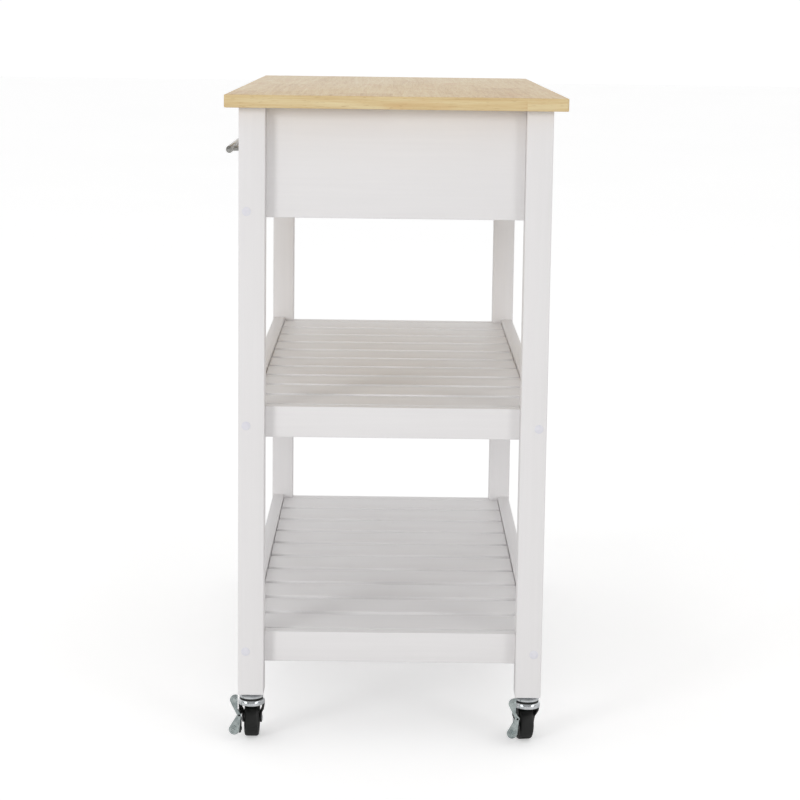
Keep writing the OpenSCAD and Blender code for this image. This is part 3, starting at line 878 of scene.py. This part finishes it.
@dataclass
class Drawer:
    """One drawer: front, box and bar pull."""

    finishes: Finishes
    hand: Hand
    front_ease: float = 1.6 * MM
    side_t: float = 12 * MM
    side_ease: float = 1.2 * MM
    panel_ease: float = 0.6 * MM
    bar_r: float = 5 * MM
    bar_edge: float = 0.9 * MM
    post_r: float = 3.75 * MM
    foot_r: float = 4.65 * MM
    pitch: float = 128 * MM

    @property
    def body(self) -> str:
        """The drawer's body."""
        return f"{self.hand.value}_drawer"

    def front(self) -> None:
        """Models the drawer front."""
        node = f"{self.body}_front"
        piece = board(f"{node}_board", *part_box(node), self.front_ease, 4)
        register(piece, self.body, "white_paint", node, self.finishes.paint[Along.X])

    def box(self) -> None:
        """Models the drawer box's two sides, back and bottom."""
        node = f"{self.body}_sides"
        lo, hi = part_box(node)
        for word, x in (("near", lo.x), ("far", hi.x - self.side_t)):
            piece = board(f"{self.body}_side_{word}", Vector((x, lo.y, lo.z)),
                          Vector((x + self.side_t, hi.y, hi.z)), self.side_ease, 3)
            register(piece, self.body, "drawer_wood", node, self.finishes.bare[Along.Y])
        for part in ("back", "bottom"):
            node = f"{self.body}_{part}"
            piece = board(f"{node}_board", *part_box(node), self.panel_ease)
            register(piece, self.body, "drawer_wood", node, self.finishes.bare[Along.X])

    def pull(self) -> None:
        """Turns the bar and its two posts with their flared feet, and joins them."""
        node = f"{self.body}_handle"
        lo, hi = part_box(node)
        r, edge, half = self.bar_r, self.bar_edge, (hi.x - lo.x) / 2
        bar = turned("bar", both_ways([(r - edge, half), (r - edge * 0.3, half - edge * 0.3),
                                       (r, half - edge)]))
        middle = Vector(((lo.x + hi.x) / 2, lo.y + r, (lo.z + hi.z) / 2))
        placed(bar, Matrix.Translation(middle) @ quarter("Y"))
        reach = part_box(f"{self.body}_front")[0].y - middle.y
        parts = [bar]
        for sign in (-1, 1):
            post = turned("post", [(self.post_r, 0), (self.post_r, reach - 1.4 * MM),
                                   (self.foot_r, reach - 1.1 * MM), (self.foot_r, reach)], 32)
            at = middle + Vector((sign * self.pitch / 2, 0, 0))
            parts.append(placed(post, Matrix.Translation(at) @ quarter("X", -1)))
        piece = joined(f"{self.body}_bar_pull", parts)
        register(piece, self.body, "satin_steel", node, self.finishes.nickel)

    def build(self) -> None:
        """Models the whole drawer, whose slides keep the frame's shape."""
        self.front()
        self.box()
        self.pull()


@dataclass
class CoverCaps:
    """The plastic cover caps on the posts' end faces."""

    finishes: Finishes
    cap_r: float = 6 * MM
    proud: float = 1 * MM
    plug_r: float = 5.5 * MM
    plug_deep: float = 1.5 * MM
    upper_bolt_rise: float = 18 * MM

    def cap(self) -> Object:
        """Turns one cap: its plug in the wood and its shallow dome."""
        r, h = self.cap_r, self.proud
        return turned("cap", [
            (self.plug_r, -self.plug_deep), (self.plug_r, 0), (r, 0.05 * h), (r - 0.1 * MM, h * 0.3),
            (r * 0.86, h * 0.62), (r * 0.62, h * 0.85), (r * 0.3, h * 0.97), (r * 0.05, h)])

    def build(self) -> None:
        """Copies the cap to every bolt."""
        lo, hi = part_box("cover_caps")
        r, h = self.cap_r, self.proud
        pattern = self.cap()
        rows = {lo.z + r: Corner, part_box("upper_rail_front")[0].z + self.upper_bolt_rise: Corner,
                hi.z - r: (Corner.FRONT_LEFT, Corner.FRONT_RIGHT)}
        for row, (z, corners) in enumerate(rows.items()):
            for corner in corners:
                sx, sy = corner.value
                x = hi.x - h if sx > 0 else lo.x + h
                y = hi.y - r if sy > 0 else lo.y + r
                at = Matrix.Translation((x, y, z)) @ quarter("Y", sx)
                piece = copied(pattern, f"cap_{corner.word}_{row + 1}", at)
                register(piece, "root", "white_plastic", "cover_caps", self.finishes.plastic)
        drop(pattern)


@dataclass
class Casters:
    """The four swivel casters: one is modelled round its swivel axis and copied to each corner."""

    finishes: Finishes
    wheel_r: float = 25 * MM
    wheel_w: float = 19.6 * MM
    dish: float = 3 * MM
    trail: float = 18 * MM
    pin_r: float = 4.2 * MM
    crown_z: float = 52.2 * MM
    crown_r: float = 16.4 * MM
    cup_r: float = 18 * MM
    race_r: float = 16.5 * MM
    race_z: float = 61.6 * MM
    leg_z: float = 69 * MM
    fork_t: float = 3 * MM
    arm_in: float = 10.6 * MM
    arm_out_top: float = 14.5 * MM
    arm_front: float = 4 * MM
    arm_tip: float = 6.2 * MM
    joggle_low: float = 33 * MM
    joggle_high: float = 45 * MM
    lug_low: tuple[float, float, float] = (-9 * MM, -18.4 * MM, 35.5 * MM)
    lug_high: tuple[float, float, float] = (11.7 * MM, -13.4 * MM, 41.5 * MM)
    lobe_r: float = 7.4 * MM
    neck_r: float = 2.6 * MM
    lever_x: float = 12 * MM
    lever_t: float = 2 * MM
    rib_pitch: float = 2.3 * MM
    rib_halves: tuple[float, ...] = (3 * MM, 4.6 * MM, 5.2 * MM, 4.6 * MM, 3 * MM)
    pad_size: tuple[float, float, float] = (15 * MM, 3.4 * MM, 19 * MM)
    pad_gap: float = 3.7 * MM
    pad_drop: float = 5.2 * MM
    pivot: Point = (-15.9 * MM, 38.5 * MM)
    lobe_up: Point = (-21.1 * MM, 60.3 * MM)
    lobe_down: Point = (-22.7 * MM, 18 * MM)
    turns: dict[Corner, float] = field(default_factory=lambda: {
        Corner.FRONT_LEFT: 180.0, Corner.FRONT_RIGHT: 0.0, Corner.BACK_LEFT: 180.0, Corner.BACK_RIGHT: 9.5})

    def stem(self) -> Object:
        """Turns the king pin, the upper race plate and the collar."""
        crown, z, r = self.crown_z, self.race_z, self.race_r
        return turned("stem", [
            (5.4 * MM, crown - 2 * MM), (6 * MM, crown - 1.4 * MM), (6 * MM, crown - 0.3 * MM),
            (4 * MM, crown - 0.3 * MM), (4 * MM, z), (r - 1.6 * MM, z), (r - 0.3 * MM, z + 0.5 * MM),
            (r, z + 1.3 * MM), (r, z + 3 * MM), (r - 0.8 * MM, z + 3.9 * MM), (r - 3 * MM, z + 4.7 * MM),
            (10 * MM, z + 4.7 * MM), (10 * MM, self.leg_z)])

    def cup(self) -> Object:
        """Turns the lower race cup with its rolled rim."""
        z, r = self.crown_z, self.cup_r
        return turned("cup", [
            (r - 1.6 * MM, z + self.fork_t), (r - 1.4 * MM, z + 0.1 * MM), (r - 0.4 * MM, z),
            (r, z + 0.5 * MM), (r, z + 3.2 * MM), (r - 0.25 * MM, z + 4.8 * MM), (r - 0.8 * MM, z + 6.1 * MM),
            (r - 1.6 * MM, z + 6.8 * MM), (r - 3.2 * MM, z + 6.8 * MM), (r - 4.2 * MM, z + 6 * MM),
            (r - 5 * MM, z + 4 * MM), (self.pin_r, z + 4 * MM)])

    def seal(self) -> Object:
        """Turns a black ring that fills the race's gap between the cup and the upper plate: painted shade,
        standing in for the dark groove there.
        """
        z, top, r = self.crown_z + 4.6 * MM, self.race_z - 0.3 * MM, self.race_r
        return turned("seal", [
            (r - 2.6 * MM, z), (r - 1.4 * MM, z), (r - 0.5 * MM, top - 1.6 * MM),
            (r - 0.4 * MM, top - 0.3 * MM), (r - 0.8 * MM, top), (r - 3 * MM, top),
            (r - 3.2 * MM, z + 0.4 * MM)])

    def arm_outline(self) -> list[Point]:
        """Draws a fork arm seen from its side, from the crown down to a round end at the axle.

        Returns:
            The outline's points, as X and Z, counter-clockwise.
        """
        crown, front, tip, reach = self.crown_z, self.arm_front, self.arm_tip, self.trail
        top = crown + self.fork_t * 0.6
        climb, run = crown - self.wheel_r, front + reach
        first = math.atan2(climb, run) - math.acos(tip / math.hypot(run, climb))
        corners = [(front, top), (front - self.cup_r, top), (MM - self.cup_r, crown - 6 * MM),
                   (-reach - tip, self.wheel_r + 3 * MM)]
        return corners + arc(Vector((-reach, self.wheel_r)), tip, math.pi, math.tau + first, 18)

    def arm(self, sign: int) -> Object:
        """Models one fork arm with a joggle that brings its upper end out to the crown's rim.

        Args:
            sign: The side of the wheel, as the sign of Y.

        Returns:
            The arm.
        """
        low, high, t = self.joggle_low, self.joggle_high, self.fork_t
        arm = plate("arm", self.arm_outline(), t, 0.5 * MM)
        placed(arm, Matrix.Translation((0, sign * (self.arm_in + t / 2) + t / 2, 0)) @ quarter("X"))
        alone(arm)
        bpy.ops.object.mode_set(mode="EDIT")
        for share in (0.0, 0.2, 0.4, 0.6, 0.8, 1.0):
            bpy.ops.mesh.select_all(action="SELECT")
            bpy.ops.mesh.bisect(plane_co=(0, 0, low + (high - low) * share), plane_no=(0, 0, 1))
        bpy.ops.object.mode_set(mode="OBJECT")
        for vertex in arm.data.vertices:
            share = min(max((vertex.co.z - low) / (high - low), 0), 1)
            vertex.co.y += sign * (self.arm_out_top - self.arm_in) * share * share * (3 - 2 * share)
        return finish_mesh(arm)

    def fork(self) -> Object:
        """Models the crown disc, the two arms, and the lever's lug and pin."""
        z, top = self.crown_z, self.crown_z + self.fork_t
        crown = turned("crown", [(self.pin_r, z), (self.crown_r, z), (self.crown_r, top), (self.pin_r, top)])
        arms = [self.arm(sign) for sign in (-1, 1)]
        lug = board("lug", Vector(self.lug_low), Vector(self.lug_high), 1.2 * MM, 3)
        pin = turned("pin", [(1.5 * MM, 10 * MM), (1.5 * MM, 14.9 * MM), (1.2 * MM, 15.3 * MM)], 24)
        placed(pin, Matrix.Translation((0, *self.pivot)) @ quarter("Y"))
        return joined("fork", [crown, *arms, lug, pin])

    def on_axle(self, name: str, half: Sequence[Point], sides: int) -> Object:
        """Turns a piece that is the same on both sides, and sets it on the wheel's axis.

        Args:
            name: The piece's name.
            half: Radius and height of each step, from its side face to the middle.
            sides: The number of sides.

        Returns:
            The piece.
        """
        piece = turned(name, both_ways(half), sides)
        return placed(piece, Matrix.Translation((-self.trail, 0, self.wheel_r)) @ quarter("X"))

    def wheel(self) -> Object:
        """Turns the wheel: a hub, dished sides, and a tread with rounded shoulders."""
        r, h = self.wheel_r, self.wheel_w / 2
        deep = h - self.dish
        return self.on_axle("wheel", [
            (3.05 * MM, 10.2 * MM), (7.4 * MM, 10.2 * MM), (8 * MM, 9.6 * MM), (8.3 * MM, deep),
            (18.4 * MM, deep), (19 * MM, h - 0.6 * MM), (19.8 * MM, h), (r - 2.9 * MM, h),
            (r - 1.2 * MM, h - 0.7 * MM), (r - 0.3 * MM, h - 1.9 * MM), (r, h - 3.2 * MM)], 96)

    def axle(self) -> Object:
        """Turns the axle with its domed rivet heads."""
        out = self.arm_in + self.fork_t
        return self.on_axle("axle", [
            (1.5 * MM, out + 1.1 * MM), (3 * MM, out + 0.9 * MM), (3.9 * MM, out + 0.4 * MM),
            (4.2 * MM, out), (3 * MM, out)], 32)

    def lean(self, lobe: Vector) -> tuple[float, float]:
        """Gives the directions in which the two straight sides of a lever's drop face.

        Args:
            lobe: The middle of the drop's round end.

        Returns:
            The two directions, in radians.
        """
        way = Vector(self.pivot) - lobe
        along, half = math.atan2(way.y, way.x), math.acos((self.lobe_r - self.neck_r) / way.length)
        return along - half, along + half

    def lever_outline(self) -> list[Point]:
        """Draws the lever: two drops whose points meet at the pin, the upper one cut straight beside the cup.

        Returns:
            The outline's points, as Y and Z, counter-clockwise.
        """
        big, small = self.lobe_r, self.neck_r
        pin, up, down = Vector(self.pivot), Vector(self.lobe_up), Vector(self.lobe_down)
        up_left, (down_right, down_left) = self.lean(up)[0], self.lean(down)
        one, two = (Vector((math.cos(a), math.sin(a))) for a in (up_left, down_left))
        p, q = one.dot(pin) + small, two.dot(pin) + small
        cross = one.x * two.y - one.y * two.x
        notch = ((p * two.y - q * one.y) / cross, (one.x * q - two.x * p) / cross)
        cut = math.acos((-self.cup_r - up.x) / big)
        bend = (-self.cup_r, self.crown_z - 5 * MM)
        return [*arc(up, big, cut, up_left + math.tau, 16), notch,
                *arc(down, big, down_left, down_right + math.tau, 20),
                *arc(pin, small, down_right, math.radians(35), 4), bend]

    def lever(self) -> Object:
        """Models the pressed lever plate, with a low dome above the pin and ribs below it."""
        sheet = plate("lever", self.lever_outline(), self.lever_t, 0.5 * MM)
        placed(sheet, Matrix(((0, 0, 1, self.lever_x), (1, 0, 0, 0), (0, 1, 0, 0), (0, 0, 0, 1))))
        face = self.lever_x + self.lever_t
        parts = [sheet]
        middle = Matrix.Translation((0, *self.lobe_down)) @ Matrix.Rotation(math.radians(-30), 4, "X")
        for k, half in enumerate(self.rib_halves, -2):
            rib = board("rib", Vector((face - 0.3 * MM, -half, -0.55 * MM)),
                        Vector((face + 0.6 * MM, half, 0.55 * MM)), 0.3 * MM, 2)
            parts.append(placed(rib, middle @ Matrix.Translation((0, 0, k * self.rib_pitch))))
        dome = turned("dome", [(2.6 * MM, -0.3 * MM), (2.6 * MM, 0), (2.3 * MM, 0.2 * MM),
                               (1.6 * MM, 0.4 * MM), (0.7 * MM, 0.5 * MM)], 32)
        parts.append(placed(dome, Matrix.Translation((face, *self.lobe_up)) @ quarter("Y")))
        boss = turned("boss", [(3 * MM, 0), (3 * MM, 0.7 * MM), (2.6 * MM, MM), (1.9 * MM, MM)], 32)
        parts.append(placed(boss, Matrix.Translation((face - 0.3 * MM, *self.pivot)) @ quarter("Y")))
        return joined("lever", parts)

    def pad(self) -> Object:
        """Models the moulded brake pad and its nub."""
        reach, thick, tall = self.pad_size
        out = -(self.wheel_w / 2 + self.pad_gap)
        z = self.lobe_down[1] - self.pad_drop
        block = board("pad", Vector((self.lever_x - reach, out - thick, z)),
                      Vector((self.lever_x, out, z + tall)), 0.9 * MM, 3)
        nub = turned("nub", [(2.5 * MM, 0), (2.5 * MM, 1.1 * MM), (2 * MM, 1.6 * MM)], 24)
        at = Vector((self.lever_x - 11 * MM, out - 1 * MM, z + 3 * MM))
        placed(nub, Matrix.Translation(at) @ quarter("X", -1))
        return joined("pad", [block, nub])

    def build(self) -> None:
        """Models one caster, and copies its pieces to the four corners."""
        finish = self.finishes
        kit = [(self.stem(), "root", "zinc_steel", "caster_stems", finish.zinc),
               (self.cup(), "swivel", "zinc_steel", "cup", finish.zinc),
               # the black race ring is painted shade: it fills the gap between the cup and the upper plate to
               # darken the groove
               (self.seal(), "swivel", "black_plastic", "cup", finish.nylon),
               (self.fork(), "swivel", "black_steel", "fork", finish.coat),
               (self.wheel(), "wheel", "black_plastic", "wheel", finish.nylon),
               (self.axle(), "swivel", "zinc_steel", "axle", finish.zinc),
               (self.lever(), "brake", "zinc_steel", "brake", finish.pressed),
               (self.pad(), "brake", "black_plastic", "brake", finish.nylon)]
        for corner in Corner:
            lo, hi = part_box(f"leg_{corner.word}")
            place = Matrix.Translation(((lo.x + hi.x) / 2, (lo.y + hi.y) / 2, 0))
            place = place @ Matrix.Rotation(math.radians(self.turns[corner]), 4, "Z")
            for pattern, body, slot, node, made in kit:
                piece = copied(pattern, f"{corner.word}_{pattern.name}", place)
                on = body if body == "root" else f"{body}_{corner.word}"
                name = node if node == "caster_stems" else f"caster_{corner.word}_{node}"
                register(piece, on, slot, name, made)
        for pattern, *_ in kit:
            drop(pattern)


@dataclass
class Ironmongery:
    """The hidden fittings and runners, which keep the frame's own shapes."""

    finishes: Finishes

    def build(self) -> None:
        """Dresses the frame's own nodes."""
        finish = self.finishes
        nodes = {"worktop_brackets": finish.zinc, "drawer_runners": finish.zinc, "frame_bolts": finish.zinc,
                 "end_frame_dowels": finish.bare[Along.Y], "left_drawer_slides": finish.zinc,
                 "right_drawer_slides": finish.zinc}
        for node, made in nodes.items():
            dress(bpy.data.objects[node], made)
            LOG.info("%s keeps its shape", node)


@dataclass
class Studio:
    """The camera, the pale floor and the soft lights."""

    eye: tuple[float, float, float] = (3.25086, -0.00083, 0.98737)
    pitch: float = -0.15195
    yaw: float = -0.00502
    roll: float = -0.01294
    lens: float = 96.10
    shift: float = -0.07
    floor_lift: float = 0.38

    def camera(self) -> None:
        """Sets the camera at the viewing angle: level by yaw, then pitch, then roll."""
        data = bpy.data.cameras.new("view")
        view = bpy.data.objects.new("view", data)
        bpy.context.scene.collection.objects.link(view)
        right, up, ahead = Vector((0, 1, 0)), Vector((0, 0, 1)), Vector((-1, 0, 0))
        turn = Matrix.Rotation(self.yaw, 3, up)
        right, ahead = turn @ right, turn @ ahead
        turn = Matrix.Rotation(self.pitch, 3, right)
        up, ahead = turn @ up, turn @ ahead
        turn = Matrix.Rotation(self.roll, 3, ahead)
        right, up = turn @ right, turn @ up
        basis = Matrix((right, up, -ahead)).transposed().to_4x4()
        view.matrix_world = Matrix.Translation(self.eye) @ basis
        data.sensor_width = 36
        data.lens = self.lens
        data.shift_y = self.shift
        data.clip_end = 60
        bpy.context.scene.camera = view

    def lamp(self, name: str, at: tuple[float, float, float], size: float, power: float,
             aim: tuple[float, float, float] = (0.2, 0, 0.45)) -> None:
        """Hangs a square soft light and turns it to a point.

        Args:
            name: The light's name.
            at: Its place.
            size: The length of its side.
            power: Its power in watts.
            aim: The point that it faces.
        """
        data = bpy.data.lights.new(name, "AREA")
        data.size = size
        data.energy = power
        lamp = bpy.data.objects.new(name, data)
        bpy.context.scene.collection.objects.link(lamp)
        lamp.location = at
        lamp.rotation_euler = (Vector(aim) - Vector(at)).to_track_quat("-Z", "Y").to_euler()
        lamp.visible_glossy = False

    def floor(self) -> None:
        """Lays the pale floor."""
        alone()
        bpy.ops.mesh.primitive_plane_add(size=60, location=(0, 0, 0))
        ground = bpy.context.object
        ground.name = "studio_floor"
        made, tree, shader, coords = blank("pale_floor")
        cloud = add(tree, "TexNoise", blotches(1.5), {"Vector": coords}).outputs[0]
        colour = add(tree, "ValToRGB", None, {0: cloud}, [(0.3, "#EDEDED"), (0.7, "#EFEFEF")]).outputs[0]
        shader.inputs["Roughness"].default_value = 0.9
        shader.inputs["Specular IOR Level"].default_value = 0.1
        shader.inputs["Emission Color"].default_value = (1, 1, 1, 1)
        seen = add(tree, "LightPath").outputs["Is Camera Ray"]
        lift = add(tree, "MapRange", between(0.0, self.floor_lift), {"Value": seen}).outputs[0]
        feed(tree, shader, {"Base Color": colour, "Emission Strength": lift})
        ground.data.materials.append(made)

    def sky(self) -> None:
        """Fills the room with white light, a low glow at the far end, and bands for metal to mirror."""
        world = bpy.data.worlds.new("studio")
        world.use_nodes = True
        tree = world.node_tree
        back = next(n for n in tree.nodes if n.type == "BACKGROUND")
        way = add(tree, "SeparateXYZ", links={"Vector": add(tree, "TexCoord").outputs["Generated"]}).outputs
        base = add(tree, "MapRange", between(0.57, 0.71, 0.0, 0.9), {"Value": way["Z"]}).outputs[0]
        behind = add(tree, "MapRange", between(0.4, 0.0, -0.8, -0.35), {"Value": way["X"]}).outputs[0]
        low = add(tree, "MapRange", between(1.0, 0.0, 0.25, 0.6), {"Value": way["Z"]}).outputs[0]
        glow = add(tree, "Math", links={0: behind, 1: low}, operation="MULTIPLY").outputs[0]
        room = add(tree, "Math", links={0: base, 1: glow}, operation="ADD").outputs[0]
        aside = add(tree, "Math", links={0: way["Y"]}, operation="ABSOLUTE").outputs[0]
        tones = [(0.3, "#7A7A7A"), (0.5, "#2C2C2C"), (0.6, "#FFFFFF"), (0.8, "#FFFFFF"), (0.9, "#3A3A3A")]
        boxes = add(tree, "ValToRGB", None, {0: aside}, tones).outputs[0]
        ahead = add(tree, "MapRange", between(0.0, 1.0, 0.1, 0.3), {"Value": way["X"]}).outputs[0]
        path = add(tree, "LightPath").outputs
        glossy = path["Is Glossy Ray"]
        mirrored = add(tree, "Math", links={0: glossy, 1: ahead}, operation="MULTIPLY").outputs[0]
        bands = add(tree, "Math", {1: 1.9}, {0: boxes}, operation="MULTIPLY").outputs[0]
        lit = add(tree, "Mix", links={0: mirrored, 2: room, 3: bands}).outputs[0]
        level = add(tree, "Mix", {3: 1.02}, {0: path["Is Camera Ray"], 2: lit}).outputs[0]
        feed(tree, back, {"Strength": level})
        back.inputs["Color"].default_value = (1, 1, 1, 1)
        bpy.context.scene.world = world

    def build(self) -> None:
        """Sets up the whole studio."""
        self.camera()
        self.floor()
        self.sky()
        self.lamp("left_softbox", (7.87, -6.43, 2.78), 2.67, 250)
        self.lamp("right_softbox", (7.87, 6.43, 2.78), 2.67, 133)
        bpy.context.scene.view_settings.view_transform = "Standard"


def main() -> None:
    """Builds the cart round the frame, sub-assembly by sub-assembly."""
    logging.basicConfig(level=logging.INFO, format="%(name)s: %(message)s")
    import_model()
    alone()
    finishes = Finishes()
    Studio().build()
    Worktop(finishes).build()
    Carcass(finishes).build()
    for level in Level:
        Shelf(finishes, level).build()
    for hand in Hand:
        Drawer(finishes, hand).build()
    CoverCaps(finishes).build()
    Casters(finishes).build()
    Ironmongery(finishes).build()


if __name__ == "__main__":
    main()
